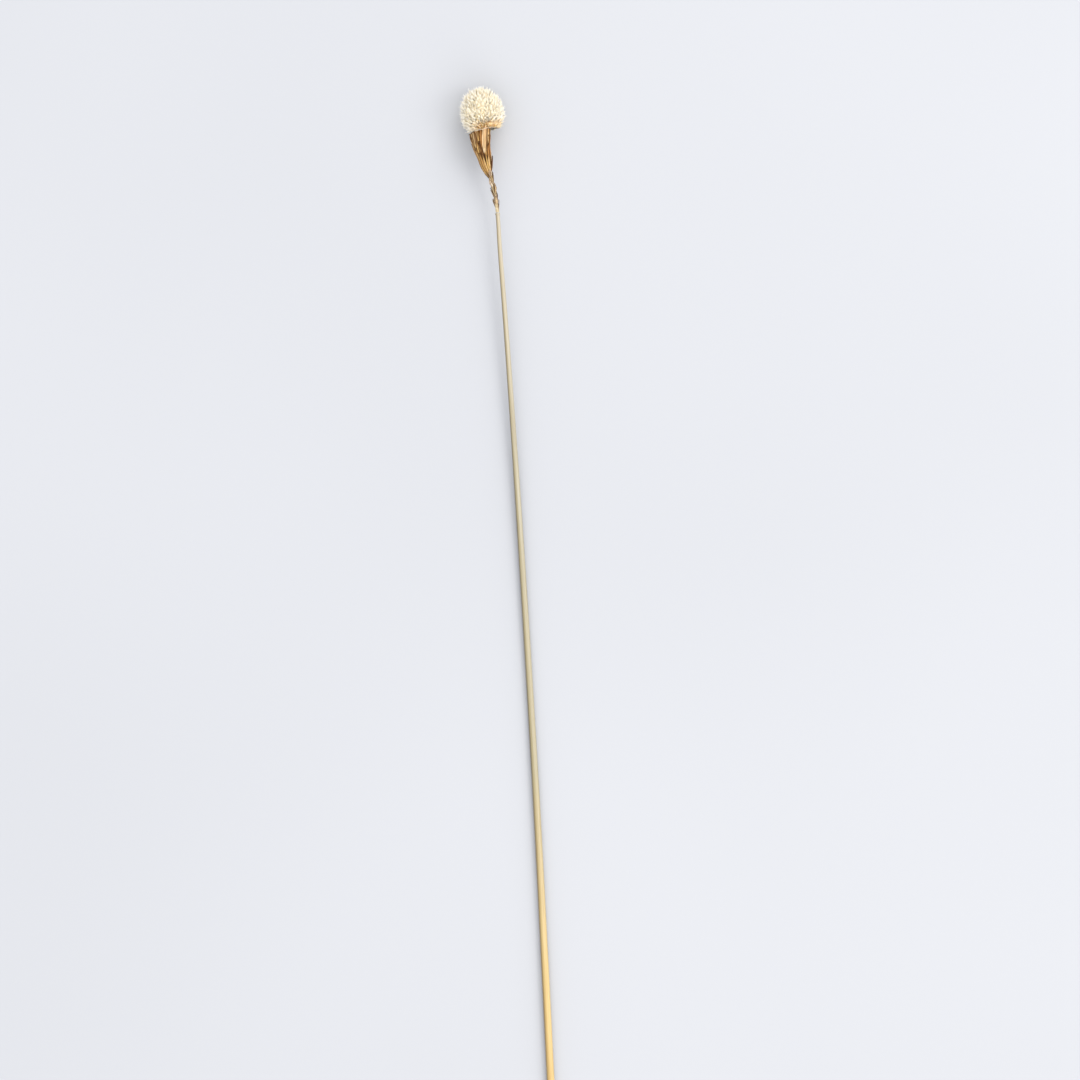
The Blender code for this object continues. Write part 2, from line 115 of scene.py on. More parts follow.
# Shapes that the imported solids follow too

def along(points, at):
    """The value at a place on a smooth curve through the points (place, value)."""
    last = len(points) - 1
    i = max(j for j in range(last) if j == 0 or points[j][0] <= at)
    slopes = []
    for j in (i, i + 1):
        before = points[max(j - 1, 0)]
        after = points[min(j + 1, last)]
        slopes.append((after[1] - before[1]) / (after[0] - before[0]))
    start, end = points[i], points[i + 1]
    span = end[0] - start[0]
    t = min(max((at - start[0]) / span, 0.0), 1.0)
    return (
        (2 * t**3 - 3 * t**2 + 1) * start[1]
        + (t**3 - 2 * t**2 + t) * span * slopes[0]
        + (3 * t**2 - 2 * t**3) * end[1]
        + (t**3 - t**2) * span * slopes[1]
    )


def between(ends, share):
    return ends[0] + (ends[1] - ends[0]) * share


def stem_radius(y):
    return along(STEM_TAPER, y)


def centre_line(y):
    """The middle of the stem, or of the leafy stalk above it, at a distance along Y."""
    rest = stem_radius(y) * FLAT_SIDE
    rise = max(0.0, (y - LIFT_FROM_Y) / (NECK_Y - LIFT_FROM_Y))
    lift = (NECK_HEIGHT - STEM_TOP_RADIUS) * rise**2 * (3.0 - rise) / 2.0
    return Vector((along(CENTRE_LINE, y), y, rest + lift))


def core_radius(y):
    """How thick the leafy stalk is inside its bracts and scales, at a distance along Y."""
    return along(STALK_PROFILE, max(NECK_Y - y, 0.0))


def frame_on_line(y):
    """A matrix with +Z up the flower's line, its origin on the line, and +X level."""
    step = 0.5 * MM
    up = (centre_line(y + step) - centre_line(y - step)).normalized()
    side = up.cross(Vector((0.0, 0.0, 1.0))).normalized()
    matrix = Matrix((side, up.cross(side), up)).transposed().to_4x4()
    matrix.translation = centre_line(y)
    return matrix


def head_frame():
    """A matrix with +Z along the head's axis and its origin at the middle of its base."""
    lean = math.sin(HEAD_LEAN) * math.cos(HEAD_RISE)
    ahead = math.cos(HEAD_LEAN) * math.cos(HEAD_RISE)
    up = Vector((lean, ahead, math.sin(HEAD_RISE)))
    side = up.cross(Vector((0.0, 0.0, 1.0))).normalized()
    matrix = Matrix((side, up.cross(side), up)).transposed().to_4x4()
    matrix.translation = HEAD_BASE
    return matrix


def outline_reach(direction):
    """How far the head reaches from its widest place in a direction given in its frame."""
    above = direction.z > 0.0
    height = HEAD_TOP - HEAD_WIDEST if above else HEAD_UNDERSIDE
    fullness = FULLNESS_ABOVE if above else FULLNESS_BELOW
    wide = (direction.xy.length / HEAD_RADIUS) ** fullness
    tall = (abs(direction.z) / height) ** fullness
    return (wide + tall) ** (-1.0 / fullness)


def base_level(place):
    """The level of the head's underside, in its frame, over a place beside its axis."""
    return BASE_LEVEL - max(0.0, place.xy.length - RECEPTACLE_RADIUS) * BASE_SLOPE


# Helpers for modelling by hand

def only(thing):
    """Selects this object alone and makes it the active one."""
    bpy.ops.object.select_all(action="DESELECT")
    thing.select_set(True)
    bpy.context.view_layer.objects.active = thing


def pick(thing, wanted, kind="VERT"):
    """In edit mode, selects the points, edges or faces for which wanted(item) holds."""
    bpy.ops.mesh.select_mode(type=kind)
    bpy.ops.mesh.select_all(action="DESELECT")
    shape = bmesh.from_edit_mesh(thing.data)
    for item in {"VERT": shape.verts, "EDGE": shape.edges, "FACE": shape.faces}[kind]:
        if wanted(item):
            item.select_set(True)
    shape.select_flush_mode()
    bmesh.update_edit_mesh(thing.data)


def settle(thing):
    """Puts an object's place, turn and size into its mesh."""
    only(thing)
    bpy.ops.object.transform_apply(location=True, rotation=True, scale=True)


def apply_all(thing):
    only(thing)
    for modifier in list(thing.modifiers):
        bpy.ops.object.modifier_apply(modifier=modifier.name)


def drop(thing):
    mesh = thing.data
    bpy.data.objects.remove(thing)
    bpy.data.meshes.remove(mesh)


def note_points(mesh, name, values):
    """Keeps one number for each point of a mesh, for its material to read."""
    layer = mesh.attributes.new(name, "FLOAT", "POINT")
    layer.data.foreach_set("value", values)


def joined(name, meshes):
    """One object from many meshes, which it uses up."""
    things = []
    for mesh in meshes:
        thing = bpy.data.objects.new(name, mesh)
        bpy.context.scene.collection.objects.link(thing)
        things.append(thing)
    bpy.ops.object.select_all(action="DESELECT")
    for thing in things:
        thing.select_set(True)
    bpy.context.view_layer.objects.active = things[0]
    bpy.ops.object.join()
    things[0].name = name
    return things[0]


# Materials

def linear(hex_colour):
    """An sRGB hex colour as linear red, green, blue and alpha."""
    parts = [int(hex_colour[i : i + 2], 16) / 255.0 for i in (1, 3, 5)]
    lin = [c / 12.92 if c <= 0.04045 else ((c + 0.055) / 1.055) ** 2.4 for c in parts]
    return (*lin, 1.0)


def add(tree, kind, links=None, **settings):
    """A node with its settings; links names its inputs and the outputs that feed them."""
    node = tree.nodes.new(kind)
    for name, value in settings.items():
        if name in node.bl_rna.properties:
            setattr(node, name, value)
        else:
            node.inputs[name.replace("_", " ")].default_value = value
    for name, source in (links or {}).items():
        tree.links.new(source, node.inputs[name])
    return node


def finish_material(name, roughness, **values):
    """A new material, its tree and its shader, with values set on the shader's sockets."""
    material = bpy.data.materials.new(name)
    material.use_nodes = True
    shader = material.node_tree.nodes["Principled BSDF"]
    shader.inputs["Roughness"].default_value = roughness
    for socket, value in values.items():
        shader.inputs[socket.replace("_", " ")].default_value = value
    return material, material.node_tree, shader


def ramp(tree, source, stops):
    """A colour ramp over a value, with stops as (place, hex colour)."""
    node = add(tree, "ShaderNodeValToRGB", {"Fac": source})
    elements = node.color_ramp.elements
    while len(elements) < len(stops):
        elements.new(0.5)
    for element, (place, colour) in zip(elements, stops):
        element.position = place
        element.color = linear(colour)
    return node.outputs["Color"]


def tinted(tree, base, tint, share):
    """A colour multiplied by a tint, as far as a share from 0 to 1 says."""
    mixing = {"data_type": "RGBA", "blend_type": "MULTIPLY"}
    mix = add(tree, "ShaderNodeMix", {6: base, 7: tint}, **mixing)
    mix.inputs[0].default_value = share
    return mix.outputs[2]


def blended(tree, share, first, second):
    """One colour that gives way to another as a value goes from 0 to 1."""
    mix = add(tree, "ShaderNodeMix", {0: share, 6: first, 7: second}, data_type="RGBA")
    return mix.outputs[2]


def noted(tree, name):
    """The number that a piece keeps under this name at each of its points."""
    return add(tree, "ShaderNodeAttribute", attribute_name=name).outputs["Fac"]


def modelled_place(tree):
    """The place of each point in its piece, in metres."""
    return add(tree, "ShaderNodeTexCoord").outputs["Object"]


def unwrapped_place(tree):
    """The place of each point on its piece's unwrapped surface, from 0 to 1."""
    return add(tree, "ShaderNodeUVMap", uv_map="UVMap").outputs["UV"]


def axes_of(tree, place):
    """The X, Y and Z of a place, as the named outputs of one node."""
    return add(tree, "ShaderNodeSeparateXYZ", {"Vector": place}).outputs


def share_along(tree, value, start, end):
    """Where a value lies from its start to its end, from 0 to 1."""
    node = add(tree, "ShaderNodeMapRange", {"Value": value}, From_Min=start, From_Max=end)
    return node.outputs["Result"]


def noise_over(tree, place, scale, detail):
    """A smooth random value from 0 to 1, with its scale in waves for each unit of the place."""
    node = add(tree, "ShaderNodeTexNoise", {"Vector": place}, Scale=scale, Detail=detail)
    return node.outputs["Fac"]


def drawn_out(tree, axes, scale):
    """A place made of some values, with its axes scaled, for a long and narrow pattern."""
    place = add(tree, "ShaderNodeCombineXYZ", axes).outputs["Vector"]
    return add(tree, "ShaderNodeMapping", {"Vector": place}, Scale=scale).outputs["Vector"]


def raise_surface(tree, shader, height, strength, depth):
    """Bumps a finish by a pattern, to a depth in metres."""
    bump = add(tree, "ShaderNodeBump", {"Height": height}, Strength=strength, Distance=depth)
    tree.links.new(bump.outputs["Normal"], shader.inputs["Normal"])


def papery_floret():
    """Dried bracteole, thin as tissue paper: it glows where light passes through it.

    Near white at the tip and cream along the blade, or golden low on the head, with fine flecks.
    """
    material, tree, shader = finish_material(
        "dried_papery_bracteole",
        0.62,
        IOR=1.45,
        Specular_IOR_Level=0.35,
        Sheen_Weight=0.15,
        Sheen_Roughness=0.5,
        Subsurface_Weight=1.0,
        Subsurface_Radius=(1.0, 0.9, 0.75),
        Subsurface_Scale=3.0 * MM,
    )
    share = noted(tree, "share")
    blade = ramp(tree, share, (
        (0.25, "#FCECC0"),
        (0.50, "#FEF4D4"),
        (0.74, "#FFF8E0"),
        (0.95, "#FFFBEE"),
    ))
    golden = ramp(tree, share, ((0.25, "#FFC444"), (0.60, "#FFD064"), (0.95, "#FFDF92")))
    warm = blended(tree, noted(tree, "low"), blade, golden)
    flecks = noise_over(tree, modelled_place(tree), 1.4 / MM, 3.0)
    fleck_colour = ramp(tree, flecks, ((0.30, "#F2E9CC"), (0.70, "#FFFFFF")))
    flecked = tinted(tree, warm, fleck_colour, 0.15)
    tone = noted(tree, "tone")
    shade = ramp(tree, tone, ((0.0, "#F4E8C8"), (0.35, "#FBF6E6"), (1.0, "#FFFFFF")))
    toned = tinted(tree, flecked, shade, 0.2)
    tree.links.new(toned, shader.inputs["Base Color"])
    return material


def floret_bed():
    """The close-packed feet of the florets: rough cream chaff, golden amber under the head."""
    material, tree, shader = finish_material(
        "amber_chaff", 0.85, IOR=1.45, Specular_IOR_Level=0.2
    )
    grains = noise_over(tree, modelled_place(tree), 0.9 / MM, 4.0)
    cream = ramp(tree, grains, ((0.35, "#F8EAC6"), (0.65, "#FBF1D8")))
    amber = ramp(tree, grains, ((0.35, "#F6C45C"), (0.65, "#FFD67C")))
    chaff_colour = blended(tree, noted(tree, "low"), cream, amber)
    tree.links.new(chaff_colour, shader.inputs["Base Color"])
    raise_surface(tree, shader, grains, 0.6, 0.2 * MM)
    return material


# Colours of the dry leaves by their tone, for the bracts and for the scales of the stalk
BRACT_TONES = (
    (0.0, "#6E4A24"),
    (0.2, "#A67842"),
    (0.4, "#BE9F62"),
    (0.65, "#DABA86"),
    (1.0, "#ECD8B4"),
)
SCALE_TONES = ((0.0, "#684E32"), (0.35, "#AE9A76"), (1.0, "#D8CCB8"))


def dry_leaf(name, tones):
    """Withered leaf: parchment with parallel veins, with painted shade at its edges and at its
    foot, where the leaves overlap.
    """
    material, tree, shader = finish_material(
        name,
        0.6,
        IOR=1.45,
        Specular_IOR_Level=0.2,
        Subsurface_Weight=0.08,
        Subsurface_Radius=(1.0, 0.55, 0.25),
        Subsurface_Scale=0.5 * MM,
    )
    axes = axes_of(tree, unwrapped_place(tree))
    across, upward = axes["X"], axes["Y"]
    tone = noted(tree, "tone")
    body = ramp(tree, tone, tones)
    # Painted shade along both edges, for the dark grooves between overlapping leaves
    aside = add(tree, "ShaderNodeMath", {0: across}, operation="SUBTRACT")
    aside.inputs[1].default_value = 0.5
    from_middle = add(tree, "ShaderNodeMath", {0: aside.outputs[0]}, operation="ABSOLUTE")
    painted_groove_shade = ramp(tree, from_middle.outputs[0], ((0.32, "#FFFFFF"), (0.47, "#64441C")))
    groove_shaded = tinted(tree, body, painted_groove_shade, 0.85)
    # Veins run the length of a leaf 2 to 3 mm wide, about 0.7 mm apart
    vein_place = drawn_out(tree, {0: across, 2: tone}, (3.4, 1.0, 40.0))
    veins = noise_over(tree, vein_place, 1.0, 2.0)
    vein_colour = ramp(tree, veins, ((0.40, "#7E5C30"), (0.54, "#FFFFFF")))
    veined = tinted(tree, groove_shaded, vein_colour, 0.75)
    # Olive and rusty patches are about 1 mm wide and 3 mm long
    patch_place = drawn_out(tree, {0: across, 1: upward, 2: tone}, (2.5, 4.0, 30.0))
    patches = noise_over(tree, patch_place, 1.0, 3.0)
    patch_colour = ramp(tree, patches, ((0.35, "#A98A44"), (0.50, "#FFFFFF"), (0.70, "#E4BC84")))
    patched = tinted(tree, veined, patch_colour, 0.5)
    # Painted shade at the foot, where the leaves below overlap it
    foot = ramp(tree, upward, ((0.0, "#6A4420"), (0.22, "#FFFFFF")))
    foot_shaded = tinted(tree, patched, foot, 0.8)
    tree.links.new(foot_shaded, shader.inputs["Base Color"])
    raise_surface(tree, shader, veins, 0.5, 0.12 * MM)
    return material


def stalk_skin():
    """Skin of the leafy stalk: olive tan, turning dark brown towards the head as painted shade
    for the gaps between the bracts.
    """
    material, tree, shader = finish_material(
        "stalk_skin_with_painted_shade", 0.7, IOR=1.45, Specular_IOR_Level=0.3
    )
    place = modelled_place(tree)
    length = share_along(tree, axes_of(tree, place)["Y"], COLLAR_Y, NECK_Y)
    # Painted shade: the skin darkens to brown towards the head, where it shows only in the gaps
    # between the bracts
    body = ramp(tree, length, (
        (0.0, "#C0B496"),
        (0.38, "#B09C74"),
        (0.56, "#6E4A28"),
        (1.0, "#4E2C10"),
    ))
    flecks = noise_over(tree, place, 0.5 / MM, 3.0)
    fleck_colour = ramp(tree, flecks, ((0.35, "#A8906C"), (0.60, "#FFFFFF")))
    flecked = tinted(tree, body, fleck_colour, 0.6)
    tree.links.new(flecked, shader.inputs["Base Color"])
    return material


def straw():
    """Dried stalk: waxy ribbed straw, with painted light on its side up and to the right and
    painted shade on the other side.

    It is greyer near the flower and golden near its foot.
    """
    material, tree, shader = finish_material(
        "dried_straw",
        0.36,
        IOR=1.5,
        Specular_IOR_Level=0.45,
        Subsurface_Weight=0.06,
        Subsurface_Radius=(1.0, 0.7, 0.4),
        Subsurface_Scale=0.6 * MM,
    )
    forward = axes_of(tree, modelled_place(tree))["Y"]
    around = axes_of(tree, unwrapped_place(tree))["X"]
    body = ramp(tree, share_along(tree, forward, CUT_END_Y, COLLAR_Y), (
        (0.0, "#CAAF76"),
        (0.22, "#C3AF80"),
        (0.42, "#A49F8A"),
        (0.75, "#A4A192"),
        (1.0, "#B0AB9E"),
    ))
    # Painted light and shade: lighter on the side up and to the right, dark olive on the other
    # side.
    side = ramp(tree, noted(tree, "painted_light_side"), (
        (0.10, "#6A6456"),
        (0.45, "#A39A82"),
        (0.72, "#EDE6CE"),
        (0.88, "#FFFFFF"),
    ))
    lit_and_shaded = tinted(tree, body, side, 0.75)
    # Fibres 0.3 mm wide run for several centimetres
    strand_place = drawn_out(tree, {0: around, 1: forward}, (34.0, 22.0, 1.0))
    strands = noise_over(tree, strand_place, 1.0, 3.0)
    strand_colour = ramp(tree, strands, ((0.32, "#B39A5C"), (0.52, "#F2E8CC"), (0.70, "#FFFFFF")))
    stranded = tinted(tree, lit_and_shaded, strand_colour, 0.45)
    tree.links.new(stranded, shader.inputs["Base Color"])
    raise_surface(tree, shader, strands, 0.4, 0.08 * MM)
    return material


def painted_board():
    """Matt painted table: cool near-white with the faintest mottle."""
    material, tree, shader = finish_material(
        "matt_painted_board", 0.9, IOR=1.45, Specular_IOR_Level=0.1
    )
    mottle = noise_over(tree, modelled_place(tree), 3.0, 1.0)
    paint = ramp(tree, mottle, ((0.3, "#ADB1B8"), (0.7, "#B0B4BB")))
    tree.links.new(paint, shader.inputs["Base Color"])
    return material


# Florets of the head

BRACTEOLE_LENGTH = 7.0 * MM
BRACTEOLE_WIDE = 1.4 * MM
BRACTEOLE_KEEL = 0.32
# Outline of a bracteole as (share of its length, share of its width)
BRACTEOLE_OUTLINE = (
    (0.22, 0.86),
    (0.45, 1.00),
    (0.64, 0.84),
    (0.80, 0.54),
    (0.92, 0.25),
)
BRACTEOLE_CURL = 0.35 * MM
BRACTEOLE_FOLD = 0.6
BRACTEOLE_FOOT = 0.55
SECOND_WIDTH = 0.9
SECOND_LENGTH = 0.88


def model_bracteole():
    """A pointed papery blade, folded along its keel, that stands along +Z."""
    bpy.ops.mesh.primitive_cylinder_add(
        vertices=4,
        radius=0.5 * BRACTEOLE_WIDE,
        depth=BRACTEOLE_LENGTH,
        location=(0.0, 0.0, 0.5 * BRACTEOLE_LENGTH),
    )
    blade = bpy.context.object
    settle(blade)
    bpy.ops.object.mode_set(mode="EDIT")
    bpy.ops.mesh.select_all(action="SELECT")
    bpy.ops.transform.resize(value=(1.0, BRACTEOLE_KEEL, 1.0), center_override=(0.0, 0.0, 0.0))
    for share, width in BRACTEOLE_OUTLINE:
        level = share * BRACTEOLE_LENGTH
        bpy.ops.mesh.select_all(action="SELECT")
        bpy.ops.mesh.bisect(plane_co=(0.0, 0.0, level), plane_no=(0.0, 0.0, 1.0))
        bpy.ops.transform.resize(value=(width, width, 1.0), center_override=(0.0, 0.0, level))
        bpy.ops.transform.translate(value=(0.0, BRACTEOLE_CURL * share**2, 0.0))
    # The inner side is drawn out towards the keel, which folds the blade
    beyond = 0.05 * MM
    pick(blade, lambda v: v.co.y < BRACTEOLE_CURL * (v.co.z / BRACTEOLE_LENGTH) ** 2 - beyond)
    fold = BRACTEOLE_FOLD * BRACTEOLE_KEEL * BRACTEOLE_WIDE
    bpy.ops.transform.translate(value=(0.0, fold, 0.0))
    pick(blade, lambda v: v.co.z > 0.99 * BRACTEOLE_LENGTH)
    bpy.ops.mesh.merge(type="CENTER")
    bpy.ops.transform.translate(value=(0.0, BRACTEOLE_CURL, 0.0))
    pick(blade, lambda v: v.co.z < 0.01 * BRACTEOLE_LENGTH)
    foot_size = (BRACTEOLE_FOOT, BRACTEOLE_FOOT, 1.0)
    bpy.ops.transform.resize(value=foot_size, center_override=(0.0, 0.0, 0.0))
    bpy.ops.object.mode_set(mode="OBJECT")
    return blade


def model_floret():
    """Two bracteoles with their backs outwards, the second a little shorter."""
    first = model_bracteole()
    only(first)
    bpy.ops.object.duplicate()
    second = bpy.context.object
    second.scale = (SECOND_WIDTH, SECOND_WIDTH, SECOND_LENGTH)
    second.rotation_euler = (0.0, 0.0, math.pi)
    settle(second)
    first.select_set(True)
    bpy.context.view_layer.objects.active = first
    bpy.ops.object.join()
    bpy.ops.object.mode_set(mode="EDIT")
    bpy.ops.mesh.select_all(action="SELECT")
    bpy.ops.mesh.normals_make_consistent(inside=False)
    bpy.ops.object.mode_set(mode="OBJECT")
    bpy.ops.object.shade_smooth_by_angle(angle=math.radians(28.0))
    first.name = "floret_pattern"
    mesh = first.data
    note_points(mesh, "share", [v.co.z / BRACTEOLE_LENGTH for v in mesh.vertices])
    for name in ("tone", "low"):
        note_points(mesh, name, [0.0] * len(mesh.vertices))
    return first


# How far a floret that meets the table is bent aside, for each millimetre that it is pressed up
BENT_ASIDE = 0.6


def pressed(tip):
    """A tip, in the head's frame, that would be under the table is bent aside onto it."""
    frame_now = head_frame()
    place = frame_now @ tip
    sunk = TABLE_TOUCH - place.z
    if sunk <= 0.0:
        return tip
    middle = frame_now @ Vector((0.0, 0.0, HEAD_WIDEST))
    aside = (place - middle).xy.normalized() * sunk * BENT_ASIDE
    return frame_now.inverted() @ Vector((place.x + aside.x, place.y + aside.y, TABLE_TOUCH))


# The florets grow in rounds: (how many, lowest angle, shares of the head's reach at their tips,
# share of a step by which the round's spiral is turned)
FLORET_ROUNDS = (
    (620, math.radians(128.0), (0.95, 1.03), 0.0),
    (640, math.radians(130.0), (0.90, 0.99), 0.5),
    (500, math.radians(132.0), (0.86, 0.95), 0.25),
)
# The lowest florets are shorter on one side, up and towards +X, and show the golden base
SHORT_SIDE = math.radians(-50.0)
SHORT_FACING = (0.35, 0.75)
SHORT_POLAR = (math.radians(106.0), math.radians(116.0))
SHORT_BY = 0.11
# Where the head turns golden: from and to these angles from its axis, and facing that side
GOLDEN_POLAR = (math.radians(105.0), math.radians(119.0))
GOLDEN_FACING = (-0.4, 0.65)
FLORET_STAND = 5.4 * MM
FLORET_WIDTHS = (0.85, 1.1)
FLORET_STRAY_DOWN = 0.03
FLORET_STRAY_ASIDE = 0.04
LONGER_SHARE = 0.08
LONGER_BY = 0.06
# Below this angle the florets fan out from nearer the middle of the base
FAN_FROM = math.radians(112.0)
FAN_ROOT_SHARE = 0.3
# Short florets that lie round the base of the head, as a skirt
SKIRT_COUNT = 150
SKIRT_FEET = (2.6 * MM, 3.8 * MM)
SKIRT_FOOT_LEVEL = 0.1 * MM
SKIRT_REACHES = (7.0 * MM, 10.0 * MM)
SKIRT_SHORTER = 1.6 * MM
SKIRT_LIFTS = (0.1 * MM, 1.0 * MM)
SKIRT_WIDTH = 1.1
# The bed lies this deep in the head, at its sides and its top, and follows the shorter florets
BED_DEPTH = 2.35 * MM
BED_TOP_DEPTH = 3.2 * MM
BED_SHORTER = 0.6
BED_FLOOR = 1.0 * MM
BASE_CLEARANCE = 0.15 * MM
RECEPTACLE_DEPTH = 1.6 * MM
RECEPTACLE_RIM = 0.9 * MM
RECEPTACLE_BEVEL = 1.2 * MM
RECEPTACLE_DROP = 0.25 * MM


def share_between(ends, value):
    """Where a value lies from one end to the other, from 0 to 1."""
    return min(max((value - ends[0]) / (ends[1] - ends[0]), 0.0), 1.0)


def shortening(polar, turn):
    """How much less a floret reaches out at an angle from the head's axis and a turn round it."""
    facing = math.cos(turn - SHORT_SIDE)
    return SHORT_BY * share_between(SHORT_FACING, facing) * share_between(SHORT_POLAR, polar)


def goldenness(polar, turn):
    """How golden the head is: only low down, and most on the side of the shorter florets."""
    facing = math.cos(turn - SHORT_SIDE)
    return share_between(GOLDEN_POLAR, polar) * share_between(GOLDEN_FACING, facing)


def floret_places(draw, count, lowest, reaches, offset):
    """The foot, tip and goldenness of each floret, on a spiral down from the top."""
    widest = Vector((0.0, 0.0, HEAD_WIDEST))
    growth_middle = Vector((0.0, 0.0, GROWTH_LEVEL))
    for i in range(count):
        level = 1.0 - (1.0 - math.cos(lowest)) * (i + 0.5) / count
        polar = math.acos(level) + draw.uniform(-FLORET_STRAY_DOWN, FLORET_STRAY_DOWN)
        aside = draw.uniform(-FLORET_STRAY_ASIDE, FLORET_STRAY_ASIDE)
        turn = GOLDEN_ANGLE * (i + offset) + aside / max(math.sin(polar), 0.1)
        outward = Vector((math.cos(turn), math.sin(turn), 0.0)) * math.sin(polar)
        direction = outward + Vector((0.0, 0.0, math.cos(polar)))
        reach = draw.uniform(*reaches) - shortening(polar, turn)
        if draw.random() < LONGER_SHARE:
            reach += LONGER_BY
        tip = pressed(widest + direction * outline_reach(direction) * reach)
        run = tip - growth_middle
        rooted = 1.0 - FLORET_STAND / run.length
        if polar > FAN_FROM:
            rooted *= FAN_ROOT_SHARE
        yield growth_middle + run * rooted, tip, goldenness(polar, turn)


def floret_between(pattern, place_head, foot, tip, width, roll, tone, golden):
    """A copy of the pattern, stretched from a foot to a tip that are in the head's frame."""
    run = tip - foot
    size = Matrix.Diagonal((width, width, run.length / BRACTEOLE_LENGTH, 1.0))
    aim = run.to_track_quat("Z", "Y").to_matrix().to_4x4()
    aim.translation = foot
    mesh = pattern.data.copy()
    mesh.transform(place_head @ aim @ Matrix.Rotation(roll, 4, "Z") @ size)
    for name, value in (("tone", tone), ("low", golden)):
        mesh.attributes[name].data.foreach_set("value", [value] * len(mesh.vertices))
    return mesh


def round_florets(pattern, place_head, draw):
    """The florets that stand all over the head, round by round."""
    for count, lowest, reaches, offset in FLORET_ROUNDS:
        for foot, tip, golden in floret_places(draw, count, lowest, reaches, offset):
            width = draw.uniform(*FLORET_WIDTHS)
            roll = draw.uniform(0.0, math.tau)
            tone = draw.random()
            yield floret_between(pattern, place_head, foot, tip, width, roll, tone, golden)


def skirt_florets(pattern, place_head, draw):
    """The short florets that lie flat round the base of the head."""
    for i in range(SKIRT_COUNT):
        turn = GOLDEN_ANGLE * i
        outward = Vector((math.cos(turn), math.sin(turn), 0.0))
        foot = outward * draw.uniform(*SKIRT_FEET) + Vector((0.0, 0.0, SKIRT_FOOT_LEVEL))
        shorter = SKIRT_SHORTER * share_between(SHORT_FACING, math.cos(turn - SHORT_SIDE))
        tip = outward * (draw.uniform(*SKIRT_REACHES) - shorter)
        tip.z = base_level(tip) + draw.uniform(*SKIRT_LIFTS)
        tip = pressed(tip)
        tone = draw.random()
        golden = goldenness(math.pi, turn)
        yield floret_between(pattern, place_head, foot, tip, SKIRT_WIDTH, 0.0, tone, golden)


def model_florets():
    """All the florets of the head, each a copy of one pattern, joined."""
    pattern = model_floret()
    place_head = head_frame()
    draw = random.Random(SEED + 1)
    meshes = list(round_florets(pattern, place_head, draw))
    meshes += skirt_florets(pattern, place_head, draw)
    drop(pattern)
    florets = joined("papery_florets", meshes)
    keep_in_place(florets, place_head)
    return florets


def keep_in_place(thing, place_head):
    """Lays points that reach under the table or through the head's base back onto them."""
    to_head = place_head.inverted()
    for vert in thing.data.vertices:
        local = to_head @ vert.co
        level = base_level(local) + BASE_CLEARANCE
        if local.z < level:
            local.z = level
            vert.co = place_head @ local
        vert.co.z = max(vert.co.z, TABLE_TOUCH)


def model_floret_bed():
    """The round bed that the florets stand in, flat where it meets the stalk."""
    bpy.ops.mesh.primitive_uv_sphere_add(segments=48, ring_count=32, radius=1.0)
    bed = bpy.context.object
    bed.name = "floret_bed"
    bpy.ops.object.mode_set(mode="EDIT")
    bpy.ops.mesh.select_all(action="SELECT")
    wide = HEAD_RADIUS - BED_DEPTH
    bpy.ops.transform.resize(value=(wide, wide, wide), center_override=(0.0, 0.0, 0.0))
    just_above = 0.001 * MM
    pick(bed, lambda v: v.co.z > just_above)
    stretch = (HEAD_TOP - HEAD_WIDEST - BED_TOP_DEPTH) / wide
    bpy.ops.transform.resize(value=(1.0, 1.0, stretch), center_override=(0.0, 0.0, 0.0))
    bpy.ops.mesh.select_all(action="SELECT")
    bpy.ops.transform.translate(value=(0.0, 0.0, HEAD_WIDEST))
    bpy.ops.mesh.bisect(
        plane_co=(0.0, 0.0, BED_FLOOR), plane_no=(0.0, 0.0, 1.0), use_fill=True, clear_inner=True
    )
    bpy.ops.object.mode_set(mode="OBJECT")
    golden = []
    for vert in bed.data.vertices:
        out = vert.co - Vector((0.0, 0.0, HEAD_WIDEST))
        polar = out.angle(Vector((0.0, 0.0, 1.0)))
        turn = math.atan2(out.y, out.x)
        golden.append(goldenness(polar, turn))
        vert.co -= out * BED_SHORTER * shortening(polar, turn)
    note_points(bed.data, "low", golden)
    bed.matrix_world = head_frame()
    settle(bed)
    bpy.ops.object.shade_smooth_by_angle(angle=math.radians(50.0))
    return bed


def model_receptacle():
    """The small disc, bevelled at its rim, that carries the florets on the stalk."""
    bpy.ops.mesh.primitive_cylinder_add(
        vertices=40,
        radius=RECEPTACLE_RADIUS,
        depth=RECEPTACLE_DEPTH,
        location=(0.0, 0.0, BASE_LEVEL + BASE_CLEARANCE + 0.5 * RECEPTACLE_DEPTH),
    )
    disc = bpy.context.object
    disc.name = "receptacle"
    settle(disc)
    bpy.ops.object.mode_set(mode="EDIT")
    pick(disc, lambda f: f.normal.z < -0.9, "FACE")
    bpy.ops.mesh.inset(thickness=RECEPTACLE_RIM)
    bpy.ops.mesh.inset(thickness=RECEPTACLE_BEVEL, depth=-RECEPTACLE_DROP)
    bpy.ops.object.mode_set(mode="OBJECT")
    note_points(disc.data, "low", [1.0] * len(disc.data.vertices))
    disc.matrix_world = head_frame()
    settle(disc)
    bpy.ops.object.shade_smooth_by_angle(angle=math.radians(40.0))
    return disc


# Bracts and scales of the leafy stalk

LEAF_THICKNESS = 0.26 * MM
# A leaf starts below the stalk's skin and stands off it once it has run this far from its foot
LEAF_ROOT = 0.15 * MM
LEAF_STAND = 0.60 * MM
ROOT_RUN = 3.2 * MM
# The part of a leaf's outline that its foot cuts off, the outline's fullness and its point
LEAF_START = 0.16
LEAF_FULLNESS = 1.15
LEAF_POINT = 0.03 * MM
